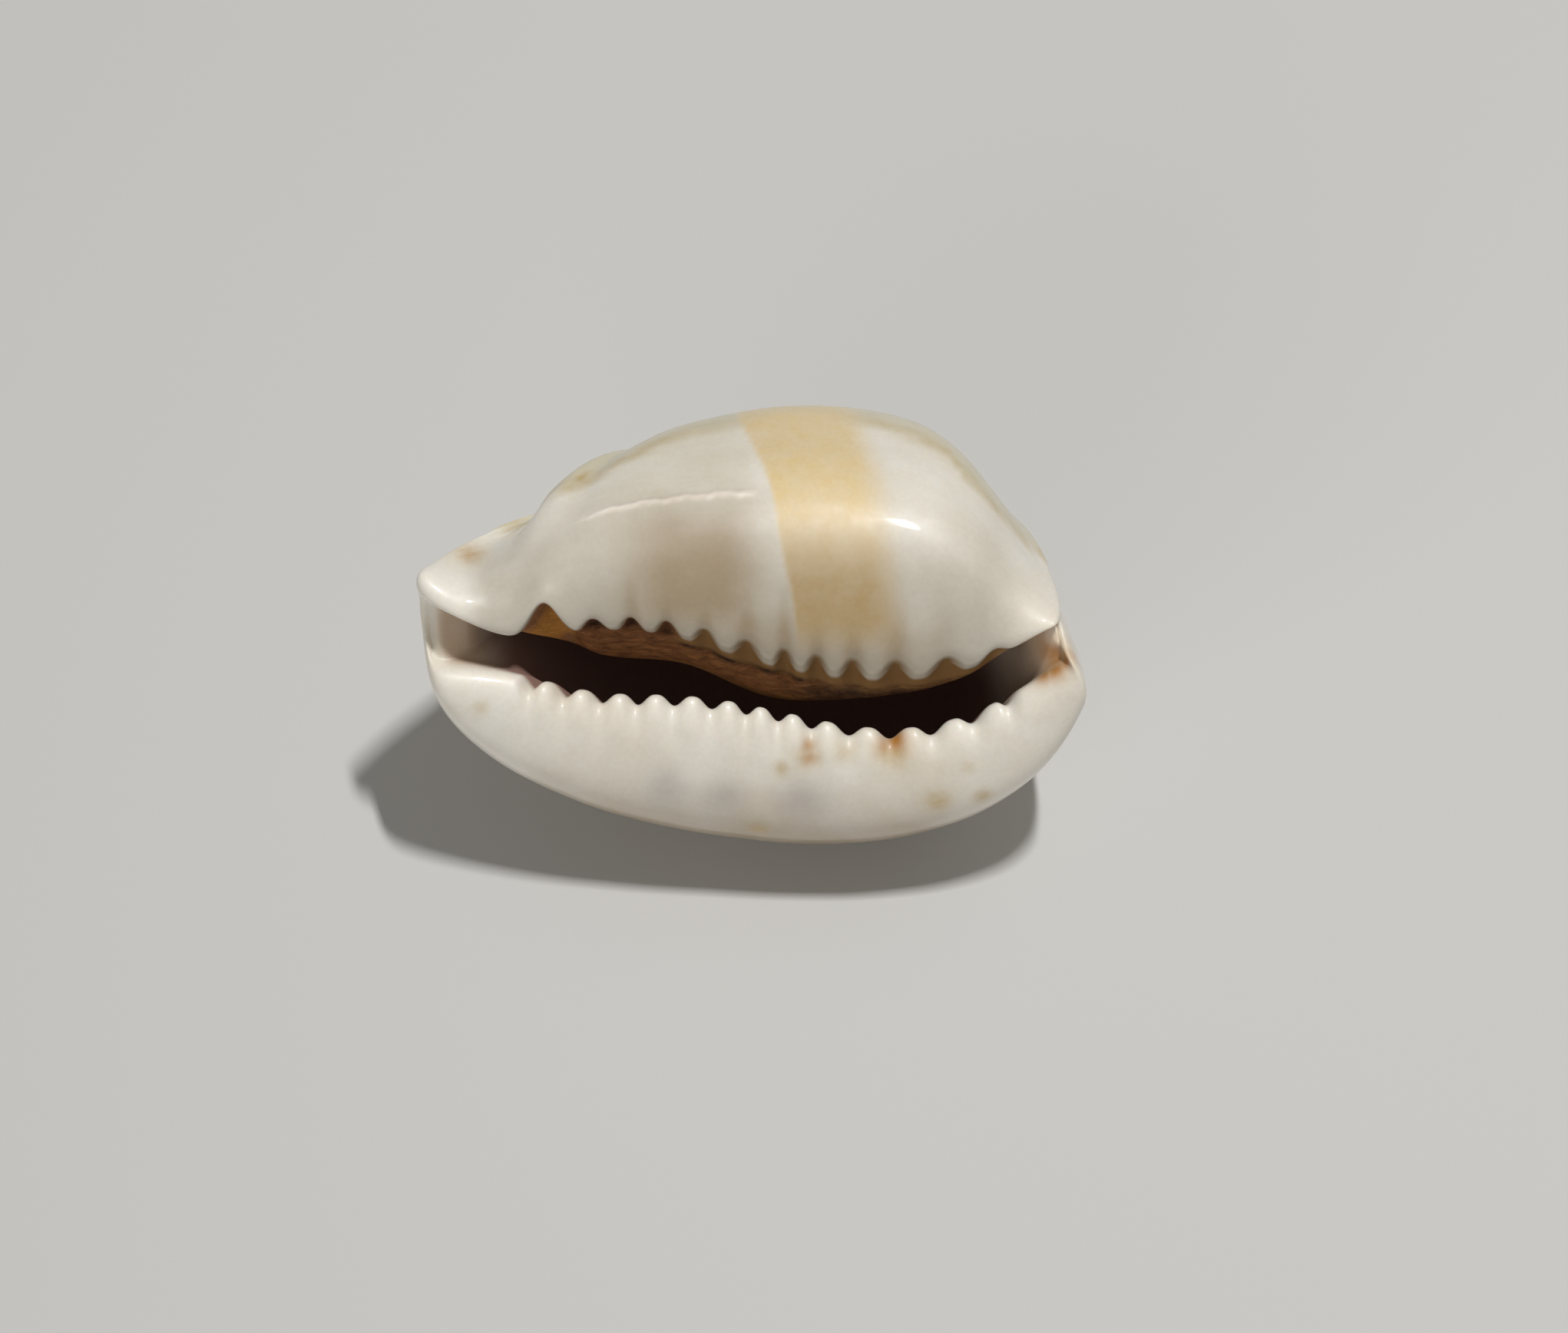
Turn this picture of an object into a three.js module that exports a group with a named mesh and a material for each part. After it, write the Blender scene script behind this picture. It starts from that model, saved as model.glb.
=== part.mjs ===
// A cowrie shell about 26 mm long, drawn in millimetres with +Z up.
//
// The shell is one closed surface. Loops run round the mouth, from a point on
// top of the back, over the back, round the margin, across the base to the
// toothed rim, down into the slit and round the hollow to a point inside it.
// A cubic B-spline across the loops makes the skin.
//
// The shell is drawn in its own axes: x from the front end (-) to the rear end
// (+), y from the outer lip (-) to the inner lip (+), z out of the base, so the
// back is at negative z. It is then rolled onto the flank of its outer lip.

import * as THREE from 'three';
import { ParametricGeometry } from 'three/addons/geometries/ParametricGeometry.js';
import { mergeVertices } from 'three/addons/utils/BufferGeometryUtils.js';

// ---- driving dimensions ----

const HALF_LENGTH = 13;
const BACK_TOP = { x: 1.5, y: 1.0, z: -13 };
const HOLLOW_TOP = { y: 0.3, z: -12 };
const ROLL = THREE.MathUtils.degToRad(60);
const FLAT_DEPTH = 0.3; // how far the rest spot is ground into the flank

// Eleven control values each, from the front end to the rear end.
const OUTER_TIPS = [1.5, 1.55, 1.35, 0.3, 0.5, -0.05, -1.0, -1.3, -0.15, 1.4, 2.1]; // y of the teeth
const INNER_TIPS = [4.6, 4.1, 2.4, 3.4, 3.0, 1.7, 1.0, 0.85, 1.4, 3.1, 4.0];
const MIDLINE = [3.6, 2.7, 1.7, 1.0, 0.75, 0.7, 0.8, 1.0, 1.2, 1.9, 3.4]; // y of the margin's middle
const OUTER_HALF = [12.5, 9.8, 8.4, 8.0, 8.1, 8.4, 8.9, 9.4, 9.8, 10.4, 11.2]; // middle to margin
const INNER_HALF = [9.8, 4.8, 5.6, 7.8, 7.9, 8.2, 8.45, 8.7, 9.5, 6.3, 4.2];
const OUTER_MARGIN = [-2.2, -2.8, -3.3, -3.7, -3.9, -4.0, -4.0, -3.8, -3.4, -3.0, -2.6]; // z
const INNER_MARGIN = [-1.6, -2.2, -3.2, -4.2, -4.8, -5.0, -5.0, -4.8, -4.4, -3.6, -2.6];
const OUTER_ROOM = [-0.05, -0.05, 0.45, 0.88, 1.06, 1.1, 1.06, 1.0, 0.92, 0.65, 0.2]; // hollow's share
const INNER_ROOM = [0.1, 0.15, 0.3, 0.65, 0.92, 1.0, 1.02, 1.02, 0.9, 0.55, 0.25];
const HOLLOW_DEPTH = [0.25, 0.35, 0.6, 0.82, 0.95, 1.0, 1.0, 0.98, 0.9, 0.5, 0.25];
const LEDGE = [0.0, 0.0, 0.0, 0.0, 0.3, 0.9, 0.85, 0.65, 0.4, 0.0, 0.0]; // stands out below the inner teeth
const RIDGE = [0.0, 0.0, 0.3, 1.9, 1.0, 1.6, 0.6, -0.2, 0.0, 0.0, 0.0]; // the same, deeper inside

// Loops over the back. reach: shares of the length at the front end, at the
// rear of the outer side and at the rear of the inner side. spread: share of
// the way from the back's top to the margin on the outer and inner sides.
// height: share of the way from the margin up to the back's top, along the
// shell and at the front end.
const BACK_LOOPS = [
  { reach: [0.0, 0.0, 0.0], spread: [0.0, 0.0], height: [1.0, 1.0] },
  { reach: [0.1, 0.11, 0.11], spread: [0.14, 0.14], height: [1.0, 1.0] },
  { reach: [0.27, 0.31, 0.3], spread: [0.34, 0.37], height: [0.975, 0.95] },
  { reach: [0.46, 0.56, 0.51], spread: [0.56, 0.62], height: [0.89, 0.78] },
  { reach: [0.65, 0.77, 0.71], spread: [0.79, 0.83], height: [0.74, 0.53] },
  { reach: [0.8, 0.9, 0.8], spread: [0.92, 0.95], height: [0.53, 0.31] },
  { reach: [0.93, 0.995, 0.865], spread: [0.985, 1.0], height: [0.27, 0.13] },
];

// Loops across the base. spread: share of the way from the rim to the margin.
// drop: share of the way down from the lips' level to the margin's.
const BASE_LOOPS = [
  { reach: [1.0, 1.035, 0.905], spread: [1.0, 1.0], drop: [1.0, 1.0] },
  { reach: [1.0, 1.04, 0.908], spread: [0.98, 0.98], drop: [0.66, 0.62] },
  { reach: [0.998, 1.04, 0.91], spread: [0.9, 0.87], drop: [0.34, 0.3] },
  { reach: [0.99, 1.035, 0.91], spread: [0.72, 0.66], drop: [0.06, 0.06] },
  { reach: [0.985, 1.022, 0.908], spread: [0.46, 0.4], drop: [-0.03, -0.04] },
  { reach: [0.98, 1.0, 0.905], spread: [0.24, 0.21], drop: [-0.04, -0.06] },
  { reach: [0.975, 0.98, 0.9], spread: [0.09, 0.08], drop: [0.02, 0.0] },
  { reach: [0.97, 0.965, 0.893], spread: [0.0, 0.0], drop: [0.16, 0.14] },
];

// Loops inside. out: mm sideways from the rim, away from the slit. z in mm.
// The inner side bulges towards the outer lip as the coil inside does. stand:
// shares of the ledge and of the ridge.
const HOLLOW_LOOPS = [
  { reach: [0.955, 0.945, 0.88], out: [0.35, -0.25], z: [-0.95, -1.0], stand: [0.75, 0.0] },
  { reach: [0.935, 0.92, 0.86], out: [1.0, -0.6], z: [-1.5, -1.5], stand: [1.0, 0.35] },
  { reach: [0.905, 0.89, 0.84], out: [2.0, -0.95], z: [-2.2, -2.2], stand: [0.45, 0.9] },
  { reach: [0.875, 0.86, 0.82], out: [3.4, -1.2], z: [-3.0, -3.0], stand: [0.0, 1.2] },
  { reach: [0.85, 0.84, 0.79], out: [4.9, -1.2], z: [-4.0, -3.9], stand: [0.0, 1.2] },
  { reach: [0.82, 0.81, 0.76], out: [5.2, -0.2], z: [-5.8, -4.8], stand: [0.0, 0.5] },
  { reach: [0.77, 0.78, 0.73], out: [4.8, 2.2], z: [-7.8, -5.0], stand: [0.0, 0.0] },
  { reach: [0.7, 0.73, 0.69], out: [3.6, 4.9], z: [-9.6, -5.2], stand: [0.0, 0.0] },
  { reach: [0.56, 0.64, 0.62], out: [2.0, 6.2], z: [-11.0, -7.8], stand: [0.0, 0.0] },
  { reach: [0.36, 0.44, 0.43], out: [0.6, 4.8], z: [-11.8, -10.8], stand: [0.0, 0.0] },
  { reach: [0.14, 0.16, 0.16], out: [-0.6, 2.0], z: [-12.0, -12.0], stand: [0.0, 0.0] },
  { reach: [0.0, 0.0, 0.0], out: [0.0, 0.0], z: [-12.0, -12.0], stand: [0.0, 0.0] },
];
// How far each loop inside takes its full z where the hollow is shallow, at the ends.
const TO_FULL_DEPTH = [0.0, 0.0, 0.0, 0.05, 0.12, 0.2, 0.3, 0.42, 0.55, 0.75, 0.95, 1.0];
const TO_HOLLOW_TOP = [0.2, 0.55, 1.0]; // how far the last three loops close on its top

// Teeth: x of each tip, and how far the valleys between them are cut back
// (y) and down (z) on the loops from two before the rim to two after it. end:
// where the row fades out, from its last tip.
const OUTER_TEETH = {
  tips: [-9.4, -8.2, -6.8, -5.35, -3.95, -2.5, -1.05, 0.2, 1.45, 2.8, 4.4, 6.05, 7.7, 9.3, 10.45],
  back: [0.05, 0.24, 0.52, 0.56, 0.4],
  down: [0.03, 0.1, 0.12, 0.05, 0.0],
  narrowing: 1.4,
  end: [-1.2, 0.8],
};
const INNER_TEETH = {
  tips: [-7.05, -5.45, -4.1, -2.7, -1.2, 0.5, 1.7, 3.0, 4.5, 6.3, 8.4, 10.2],
  back: [0.05, 0.38, 0.68, 0.05, 0.0],
  down: [0.05, 0.2, 0.25, 0.05, 0.0],
  narrowing: 1.5,
  end: [-2.0, 0.5],
};
// The gap between the front ridge and the first tooth, from four loops before the rim to three after it.
const FRONT_GAP = { x: -8.1, half: 0.72, depth: 1.6, back: [0.15, 0.45, 0.75, 0.95, 1.0, 1.0, 0.9, 0.5] };
const NOTCH = { front: 1.5, rear: 1.4 }; // z drop of the rim where the two end channels leave
const MOUTH_ENDS = { front: 0.1, rear: 0.13 }; // the less, the squarer the slit ends
const LOBE = 0.32; // how quickly the outer lip swells past the rear notch
const FRONT_LIP = 0.012; // how much further the outer lip reaches at the front
// Swelling over the front of the inner side, on the loops from the fourth of the back.
const SHOULDER = { from: [-9.8, -8.6], to: [-8.4, -6.6], height: 0.8, shares: [0.6, 0.9, 1.0, 1.0, 0.6] };
// Rounded tip of the inner lip at the front, on the base's loops from the second.
const BEAK = {
  side: 0.2,
  half: 0.14,
  reach: 0.45,
  rise: 0.45,
  reachShares: [0.3, 0.6, 0.9, 1.0, 0.9, 0.5],
  riseShares: [0.6, 0.9, 1.0, 0.9, 0.4, 0.1],
};

// ---- curves ----

const { clamp, lerp, smoothstep } = THREE.MathUtils;

// Weights of clamped uniform cubic B-spline control values at t from 0 to 1.
function splineWeights(count, t) {
  const spans = count - 3;
  const knot = (i) => clamp((i - 3) / spans, 0, 1);
  const at = Math.min(t, 1 - 1e-9);
  let basis = Array.from({ length: count + 3 }, (_, i) => (knot(i) <= at && at < knot(i + 1) ? 1 : 0));
  for (let degree = 1; degree <= 3; degree += 1) {
    basis = basis.slice(0, -1).map((weight, i) => {
      const rise = knot(i + degree) - knot(i);
      const fall = knot(i + degree + 1) - knot(i + 1);
      const up = rise > 0 ? ((at - knot(i)) / rise) * weight : 0;
      const down = fall > 0 ? ((knot(i + degree + 1) - at) / fall) * basis[i + 1] : 0;
      return up + down;
    });
  }
  return basis;
}

const weighted = (weights, values) => weights.reduce((sum, weight, i) => sum + weight * values[i], 0);

// Runs smoothly from -1 to 1 as s does, steep in the middle.
const softSign = (s, width) => (s / Math.hypot(s, width)) * Math.hypot(1, width);

const bell = (value) => Math.exp(-value * value);

// 0 on each tooth's tip and 1 midway between two.
function valley({ tips, narrowing, end }, x) {
  const last = tips.length - 1;
  const i = clamp(tips.findIndex((tip) => tip > x) - 1, 0, last - 1);
  const phase = x >= tips[last] ? 0 : clamp((x - tips[i]) / (tips[i + 1] - tips[i]), 0, 1);
  const start = smoothstep(x, tips[0] - 0.8, tips[0]);
  const fade = start * (1 - smoothstep(x, tips[last] + end[0], tips[last] + end[1]));
  return fade * (0.5 - 0.5 * Math.cos(2 * Math.PI * phase)) ** narrowing;
}

// ---- the control loops, cut at one angle round the mouth ----

// turn is 0 at the front end, and positive along the inner lip.
function spine(turn) {
  const along = -Math.cos(turn);
  const side = Math.sin(turn);
  const inner = side > 0;
  const weights = splineWeights(11, (along + 1) / 2);
  const read = (values) => weighted(weights, values);
  const rear = (1 + along) / 2;
  const front = (1 - rear) ** 5;
  const innerShare = (softSign(side, 0.2) + 1) / 2;
  const swell = smoothstep(-side, 0, LOBE);
  const bySide = ([outerValue, innerValue]) => lerp(outerValue, innerValue, innerShare);
  const reachOf = ([atFront, outerRear, innerRear]) => lerp(atFront, lerp(innerRear, outerRear, swell), rear);

  const outerTip = read(OUTER_TIPS);
  const innerTip = read(INNER_TIPS);
  const open = softSign(side, lerp(MOUTH_ENDS.front, MOUTH_ENDS.rear, rear));
  const slit = (outerTip + innerTip) / 2;
  const rimY = slit + open * (innerTip - slit);
  const marginY = read(MIDLINE) + side * bySide([read(OUTER_HALF), read(INNER_HALF)]);
  const marginZ = bySide([read(OUTER_MARGIN), read(INNER_MARGIN)]);
  const lipZ = -bell(side / (0.22 - 0.1 * rear)) * lerp(NOTCH.front, NOTCH.rear, rear);
  const endX = HALF_LENGTH * along;
  const lipX = endX * (1 + FRONT_LIP * front * smoothstep(-side, 0.05, 0.35));

  const points = [];
  for (const { reach, spread, height } of BACK_LOOPS) {
    const share = reachOf(reach);
    points.push(new THREE.Vector3(
      lerp(BACK_TOP.x, endX, share),
      lerp(BACK_TOP.y, marginY, bySide(spread)),
      lerp(marginZ, BACK_TOP.z, lerp(height[0], height[1], front)),
    ));
  }
  for (const { reach, spread, drop } of BASE_LOOPS) {
    points.push(new THREE.Vector3(
      lipX * reachOf(reach),
      lerp(rimY, marginY, bySide(spread)),
      lerp(lipZ, marginZ, bySide(drop)),
    ));
  }
  const room = open * bySide([read(OUTER_ROOM), read(INNER_ROOM)]);
  const depth = read(HOLLOW_DEPTH);
  const stands = [read(LEDGE), read(RIDGE)].map((value) => value * Math.sqrt(Math.max(side, 0)));
  HOLLOW_LOOPS.forEach(({ reach, out, z, stand }, i) => {
    const close = TO_HOLLOW_TOP[i - HOLLOW_LOOPS.length + TO_HOLLOW_TOP.length] ?? 0;
    const level = bySide(z);
    const lip = HOLLOW_LOOPS[0].z[0];
    const share = lerp(depth, 1, TO_FULL_DEPTH[i]);
    points.push(new THREE.Vector3(
      lerp(BACK_TOP.x, endX, reachOf(reach)),
      lerp(rimY + room * bySide(out) - weighted(stands, stand), HOLLOW_TOP.y, close),
      lerp(level < lip ? lip + (level - lip) * share : level, HOLLOW_TOP.z, close),
    ));
  });

  const shoulder = SHOULDER.height * smoothstep(endX, ...SHOULDER.from)
    * (1 - smoothstep(endX, ...SHOULDER.to)) * smoothstep(side, 0, 0.3);
  SHOULDER.shares.forEach((share, i) => { points[3 + i].y += shoulder * share; });
  const beak = bell((side - BEAK.side) / BEAK.half) * (1 - smoothstep(along, -0.95, -0.7));
  BEAK.reachShares.forEach((share, i) => {
    points[BACK_LOOPS.length + 1 + i].x -= BEAK.reach * share * beak;
    points[BACK_LOOPS.length + 1 + i].y += BEAK.rise * BEAK.riseShares[i] * beak;
  });

  const rim = BACK_LOOPS.length + BASE_LOOPS.length - 1;
  const rimX = points[rim].x;
  const teeth = inner ? INNER_TEETH : OUTER_TEETH;
  const cut = Math.abs(open) * valley(teeth, rimX);
  const gap = inner ? FRONT_GAP.depth * bell((rimX - FRONT_GAP.x) / FRONT_GAP.half) : 0;
  FRONT_GAP.back.forEach((share, i) => { points[rim - 4 + i].y += gap * share; });
  teeth.back.forEach((back, i) => {
    points[rim - 2 + i].y += Math.sign(side) * cut * back;
    points[rim - 2 + i].z -= cut * teeth.down[i];
  });
  return points;
}

// ---- where the surface is sampled ----

// Angle at which the rim passes x, found by halving.
function turnAt(x, inner) {
  const rim = BACK_LOOPS.length + BASE_LOOPS.length - 1;
  let low = 0;
  let high = Math.PI;
  for (let step = 0; step < 30; step += 1) {
    const middle = (low + high) / 2;
    if (spine(inner ? middle : -middle)[rim].x < x) low = middle;
    else high = middle;
  }
  return (low + high) / 2;
}

// Angles along one lip: four to a tooth, and a few more to each end.
function stations(teeth, inner, frontSteps, rearSteps) {
  const { tips } = teeth;
  const first = turnAt(tips[0], inner);
  const last = turnAt(tips[tips.length - 1], inner);
  const list = [];
  for (let i = 0; i < frontSteps; i += 1) list.push((first * i) / frontSteps);
  tips.slice(0, -1).forEach((tip, i) => {
    for (let part = 0; part < 4; part += 1) list.push(turnAt(lerp(tip, tips[i + 1], part / 4), inner));
  });
  for (let i = 0; i <= rearSteps; i += 1) list.push(lerp(last, Math.PI, i / rearSteps));
  return list;
}

const outerTurns = stations(OUTER_TEETH, false, 5, 5);
const innerTurns = stations(INNER_TEETH, true, 14, 6);
const turns = [...outerTurns.map((turn) => -turn), ...innerTurns.reverse().slice(1)];

// Rows across the loops: [from, to, steps] as shares of the whole.
const ROWS = [[0, 0.06, 2], [0.06, 0.3, 10], [0.3, 0.46, 5], [0.46, 0.66, 9], [0.66, 1, 8]];
const rows = [0];
for (const [from, to, steps] of ROWS) {
  for (let i = 1; i <= steps; i += 1) rows.push(lerp(from, to, i / steps));
}

// ---- the shell ----

const spines = turns.map(spine);
spines[spines.length - 1] = spines[0];
const rowWeights = rows.map((row) => splineWeights(spines[0].length, row));

const skin = new ParametricGeometry((u, v, target) => {
  const points = spines[Math.round(u * (spines.length - 1))];
  const weights = rowWeights[Math.round(v * (rowWeights.length - 1))];
  target.set(0, 0, 0);
  points.forEach((point, i) => target.addScaledVector(point, weights[i]));
}, spines.length - 1, rows.length - 1);
skin.deleteAttribute('uv');
skin.deleteAttribute('normal');
const shellGeometry = mergeVertices(skin, 1e-3);

// Roll the shell onto its flank, centre it, and grind the rest spot flat.
shellGeometry.rotateX(ROLL);
shellGeometry.computeBoundingBox();
const { min, max } = shellGeometry.boundingBox;
shellGeometry.translate(-(min.x + max.x) / 2, -(min.y + max.y) / 2, -min.z - FLAT_DEPTH);
const position = shellGeometry.getAttribute('position');
for (let i = 0; i < position.count; i += 1) position.setZ(i, Math.max(position.getZ(i), 0));
shellGeometry.computeVertexNormals();

const porcelain = new THREE.MeshStandardMaterial({ color: 0xe9e2d3, roughness: 0.2, metalness: 0 });
const shell = new THREE.Mesh(shellGeometry, porcelain);
shell.name = 'shell';

const cowrie = new THREE.Group();
cowrie.name = 'cowrie_shell';
cowrie.add(shell);

export default cowrie;
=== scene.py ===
"""A cowrie shell on a pale floor, lying on the flank of its outer lip with its mouth to the front.

The shell is drawn in its own axes, in millimetres: x from the front end (-) to the rear end (+), y from
the outer lip (-) to the inner lip (+), and z out of the base, so the back is at negative z. It is then
rolled onto its flank and put where the CAD shell is.
"""

import math

import bpy
import numpy as np
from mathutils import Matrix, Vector


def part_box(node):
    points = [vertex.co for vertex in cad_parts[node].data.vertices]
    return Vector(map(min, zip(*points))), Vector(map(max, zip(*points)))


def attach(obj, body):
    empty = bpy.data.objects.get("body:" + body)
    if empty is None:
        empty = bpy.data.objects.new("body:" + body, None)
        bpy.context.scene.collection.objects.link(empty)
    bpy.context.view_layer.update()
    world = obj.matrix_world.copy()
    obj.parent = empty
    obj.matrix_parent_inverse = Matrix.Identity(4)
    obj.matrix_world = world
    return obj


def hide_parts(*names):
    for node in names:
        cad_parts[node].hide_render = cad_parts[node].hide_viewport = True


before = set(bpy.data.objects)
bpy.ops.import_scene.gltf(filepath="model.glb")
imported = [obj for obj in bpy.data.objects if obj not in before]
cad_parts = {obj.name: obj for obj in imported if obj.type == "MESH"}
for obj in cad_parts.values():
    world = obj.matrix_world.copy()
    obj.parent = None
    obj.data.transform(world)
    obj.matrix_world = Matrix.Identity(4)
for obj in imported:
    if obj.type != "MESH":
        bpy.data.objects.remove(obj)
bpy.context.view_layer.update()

bl_info = {
    "name": "Cowrie shell",
    "version": (1, 0, 0),
    "blender": (4, 5, 0),
    "location": "3D View > Sidebar > Shell",
    "description": "Adds a cowrie shell and a small stage for it",
    "category": "Add Mesh",
}

MM = 0.001
ROWS_ACROSS = [(0.0, 0.03, 2), (0.03, 0.298, 20), (0.298, 0.328, 14), (0.328, 0.44, 12),
               (0.44, 0.63, 40), (0.63, 0.8, 20), (0.8, 1.0, 9)]  # from, to, steps
COLUMNS_ROUND = 820

# ---- the loops that the skin is stretched over, front end first where a list runs along the shell ----

BACK_TOP = (1.5, 1.0, -13.0)
HOLLOW_TOP = (1.5, 0.3, -12.0)
OUTER_TIPS = [1.5, 1.55, 1.35, 0.3, 0.5, -0.05, -1.0, -1.3, -0.15, 1.4, 2.1]  # y of the teeth
INNER_TIPS = [4.6, 4.1, 2.4, 3.4, 3.0, 1.7, 1.0, 0.85, 1.4, 3.1, 4.0]
MIDLINE = [3.6, 2.7, 1.7, 1.0, 0.75, 0.7, 0.8, 1.0, 1.2, 1.9, 3.4]  # y of the margin's middle
OUTER_HALF = [12.5, 9.8, 8.4, 8.0, 8.1, 8.4, 8.9, 9.4, 9.8, 10.4, 11.2]  # from the middle to the margin
INNER_HALF = [9.8, 4.8, 5.6, 7.8, 7.9, 8.2, 8.45, 8.7, 9.5, 6.3, 4.2]
OUTER_MARGIN = [-2.2, -2.8, -3.3, -3.7, -3.9, -4.0, -4.0, -3.8, -3.4, -3.0, -2.6]  # z
INNER_MARGIN = [-1.6, -2.2, -3.2, -4.2, -4.8, -5.0, -5.0, -4.8, -4.4, -3.6, -2.6]
OUTER_ROOM = [-0.05, -0.05, 0.45, 0.88, 1.06, 1.1, 1.06, 1.0, 0.92, 0.65, 0.2]  # the hollow's share
INNER_ROOM = [0.1, 0.15, 0.3, 0.65, 0.92, 1.0, 1.02, 1.02, 0.9, 0.55, 0.25]
HOLLOW_DEPTH = [0.25, 0.35, 0.6, 0.82, 0.95, 1.0, 1.0, 0.98, 0.9, 0.5, 0.25]
LEDGE = [0.0, 0.0, 0.0, 0.0, 0.3, 0.9, 0.85, 0.65, 0.4, 0.0, 0.0]  # how far it stands out below the teeth
RIDGE = [0.0, 0.0, 0.3, 1.9, 1.0, 1.6, 0.6, -0.2, 0.0, 0.0, 0.0]  # the same for the ridge inside

# Over the back: reach at the front, the rear outside and the rear inside; spread on the outer and inner
# sides; height along the shell and at the front end.
BACK_LOOPS = np.array([
    [0.0, 0.0, 0.0, 0.0, 0.0, 1.0, 1.0],
    [0.1, 0.11, 0.11, 0.14, 0.14, 1.0, 1.0],
    [0.27, 0.31, 0.3, 0.34, 0.37, 0.975, 0.95],
    [0.46, 0.56, 0.51, 0.56, 0.62, 0.89, 0.78],
    [0.65, 0.77, 0.71, 0.79, 0.83, 0.74, 0.53],
    [0.8, 0.9, 0.8, 0.92, 0.95, 0.53, 0.31],
    [0.93, 0.995, 0.865, 0.985, 1.0, 0.27, 0.13],
])
# Across the base: reach as above, then spread and drop, each on the outer and inner sides.
BASE_LOOPS = np.array([
    [1.0, 1.035, 0.905, 1.0, 1.0, 1.0, 1.0],
    [1.0, 1.04, 0.908, 0.98, 0.98, 0.66, 0.62],
    [0.998, 1.04, 0.91, 0.9, 0.87, 0.34, 0.3],
    [0.99, 1.035, 0.91, 0.72, 0.66, 0.06, 0.06],
    [0.985, 1.022, 0.908, 0.46, 0.4, -0.03, -0.04],
    [0.98, 1.0, 0.905, 0.24, 0.21, -0.04, -0.06],
    [0.975, 0.98, 0.9, 0.09, 0.08, 0.02, 0.0],
    [0.97, 0.965, 0.893, 0.0, 0.0, 0.16, 0.14],
])
# Inside: reach as above, out from the rim and z, each on the outer and inner sides, then the shares of the
# ledge and of the ridge, and how far the loop closes on the hollow's top.
HOLLOW_LOOPS = np.array([
    [0.955, 0.945, 0.88, 0.35, -0.25, -0.95, -1.0, 0.75, 0.0, 0.0],
    [0.935, 0.92, 0.86, 1.0, -0.6, -1.5, -1.5, 1.0, 0.35, 0.0],
    [0.905, 0.89, 0.84, 2.0, -0.95, -2.2, -2.2, 0.45, 0.9, 0.0],
    [0.875, 0.86, 0.82, 3.4, -1.2, -3.0, -3.0, 0.0, 1.2, 0.0],
    [0.85, 0.84, 0.79, 4.9, -1.2, -4.0, -3.9, 0.0, 1.2, 0.0],
    [0.82, 0.81, 0.76, 5.2, -0.2, -5.8, -4.8, 0.0, 0.5, 0.0],
    [0.77, 0.78, 0.73, 4.8, 2.2, -7.8, -5.0, 0.0, 0.0, 0.0],
    [0.7, 0.73, 0.69, 3.6, 4.9, -9.6, -5.2, 0.0, 0.0, 0.0],
    [0.56, 0.64, 0.62, 2.0, 6.2, -11.0, -7.8, 0.0, 0.0, 0.0],
    [0.36, 0.44, 0.43, 0.6, 4.8, -11.8, -10.8, 0.0, 0.0, 0.2],
    [0.14, 0.16, 0.16, -0.6, 2.0, -12.0, -12.0, 0.0, 0.0, 0.55],
    [0.0, 0.0, 0.0, 0.0, 0.0, -12.0, -12.0, 0.0, 0.0, 1.0],
])
# At the ends the hollow is shallow: how far each of its loops keeps its full z even there.
TO_FULL_DEPTH = [0.0, 0.0, 0.0, 0.05, 0.12, 0.2, 0.3, 0.42, 0.55, 0.75, 0.95, 1.0]
RIM = len(BACK_LOOPS) + len(BASE_LOOPS) - 1  # the rim's place among the loops
LOOP_COUNT = RIM + 1 + len(HOLLOW_LOOPS)

# Teeth: x of each tip, how far the valleys are cut back and down on the loops from two before the rim to two
# after it, how narrow they are, and where the row fades out, from its last tip.
OUTER_TEETH = {
    "tips": [-9.4, -8.2, -6.8, -5.35, -3.95, -2.5, -1.05, 0.2, 1.45, 2.8, 4.4, 6.05, 7.7, 9.3, 10.45],
    "back": [0.05, 0.24, 0.52, 0.56, 0.4], "down": [0.03, 0.1, 0.12, 0.05, 0.0],
    "narrowing": 1.4, "end": (-1.2, 0.8)}
INNER_TEETH = {
    "tips": [-7.05, -5.45, -4.1, -2.7, -1.2, 0.5, 1.7, 3.0, 4.5, 6.3, 8.4, 10.2],
    "back": [0.05, 0.38, 0.68, 0.05, 0.0], "down": [0.05, 0.2, 0.25, 0.05, 0.0],
    "narrowing": 1.5, "end": (-2.0, 0.5)}
FRONT_GAP = {"x": -8.1, "half": 0.72, "depth": 1.6,
             "back": [0.15, 0.45, 0.75, 0.95, 1.0, 1.0, 0.9, 0.5]}
FRONT_NOTCH, REAR_NOTCH = 1.5, 1.4  # z drop of the rim where the end channels leave
MOUTH_ENDS = (0.1, 0.13)  # how square the slit ends at the front and at the rear, less being squarer
FRONT_LIP = 0.012  # how much further the outer lip reaches at the front, as a share
LOBE = 0.32  # how quickly the outer lip swells past the rear notch
# Swelling over the front of the inner side, on the loops from the given one on.
SHOULDER = {"from": (-9.8, -8.6), "to": (-8.4, -6.6), "height": 0.8,
            "loop": 3, "shares": (0.6, 0.9, 1.0, 1.0, 0.6)}
# Rounded tip of the inner lip at the front, on the loops from the given one on.
BEAK = {"side": 0.2, "half": 0.14, "reach": 0.45, "rise": 0.45, "loop": 8,
        "reaches": (0.3, 0.6, 0.9, 1.0, 0.9, 0.5), "rises": (0.6, 0.9, 1.0, 0.9, 0.4, 0.1)}
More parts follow.
